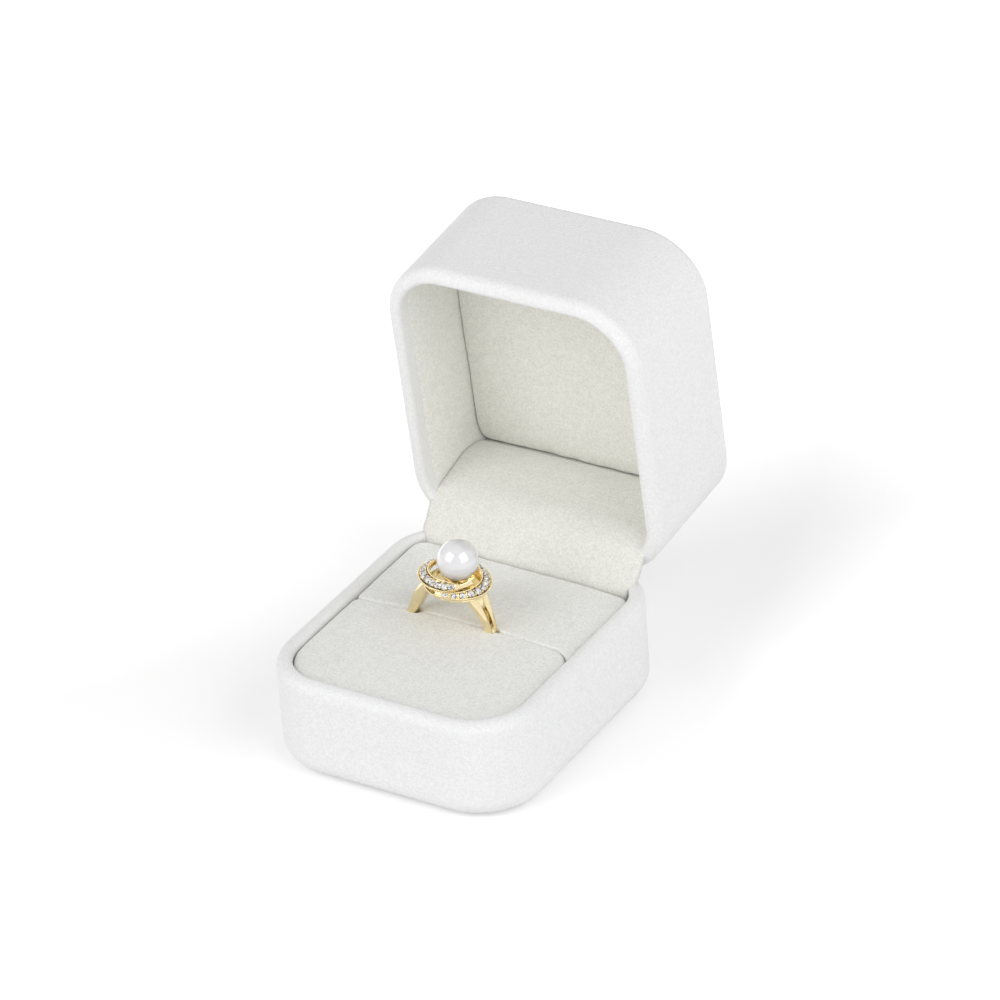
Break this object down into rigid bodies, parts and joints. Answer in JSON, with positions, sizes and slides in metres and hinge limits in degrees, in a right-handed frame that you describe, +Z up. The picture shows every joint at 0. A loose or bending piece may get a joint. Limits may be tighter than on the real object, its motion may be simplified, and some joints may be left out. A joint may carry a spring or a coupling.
{
  "type": "hinged ring display box",
  "caption": "Small rounded box with a hinged lid, soft leathercloth outside and velvet inside, holding a pearl ring upright in a padded slit.",
  "frame": {"origin": "centre of the base's underside, on the surface it stands on", "axes": "+Z up, +Y to the rear, where the hinge is, +X to the right of someone facing the open box; rest pose is the lid standing open"},
  "size_m": [0.05, 0.0802, 0.0765],
  "materials": {
    "moulded_core": "satin",
    "leathercloth": "fine matte grain",
    "backing_sheet": "matte",
    "card": "matte",
    "velvet": "short velvet pile",
    "velvet_flap": "short velvet pile",
    "velvet_lining": "short velvet pile",
    "velvet_panel": "short velvet pile",
    "steel": "satin",
    "gold": "polished",
    "stone": "clear cut",
    "pearl": "lustrous"
  },
  "bodies": {
    "base": {"base_core": "moulded_core", "base_cover": "leathercloth", "base_sheet": "backing_sheet", "insert_card": "card", "pad_front": "velvet", "pad_rear": "velvet", "hinge_flap": "velvet_flap", "hinge_leaf_base": "steel", "hinge_pin": "steel", "rivets_base": "steel"},
    "lid": {"lid_core": "moulded_core", "lid_cover": "leathercloth", "lid_lining": "velvet_lining", "lid_card": "card", "lid_panel": "velvet_panel", "hinge_leaf_lid": "steel", "rivets_lid": "steel"},
    "ring": {"ring_shank": "gold", "pearl_cup": "gold", "halo_band_left": "gold", "halo_band_right": "gold", "stones_left": "stone", "stones_right": "stone", "pearl": "pearl"}
  },
  "joints": [
    {"name": "lid_hinge", "type": "hinge", "parent": "base", "child": "lid", "pos_m": [0, 0.0266, 0.01965], "axis": [1, 0, 0], "range_deg": [0, 83.9], "deforming": ["hinge_flap"]},
    {"name": "ring_lift", "type": "slide", "parent": "base", "child": "ring", "axis": [0, 0, 1], "range_m": [0, 0.06]}
  ]
}
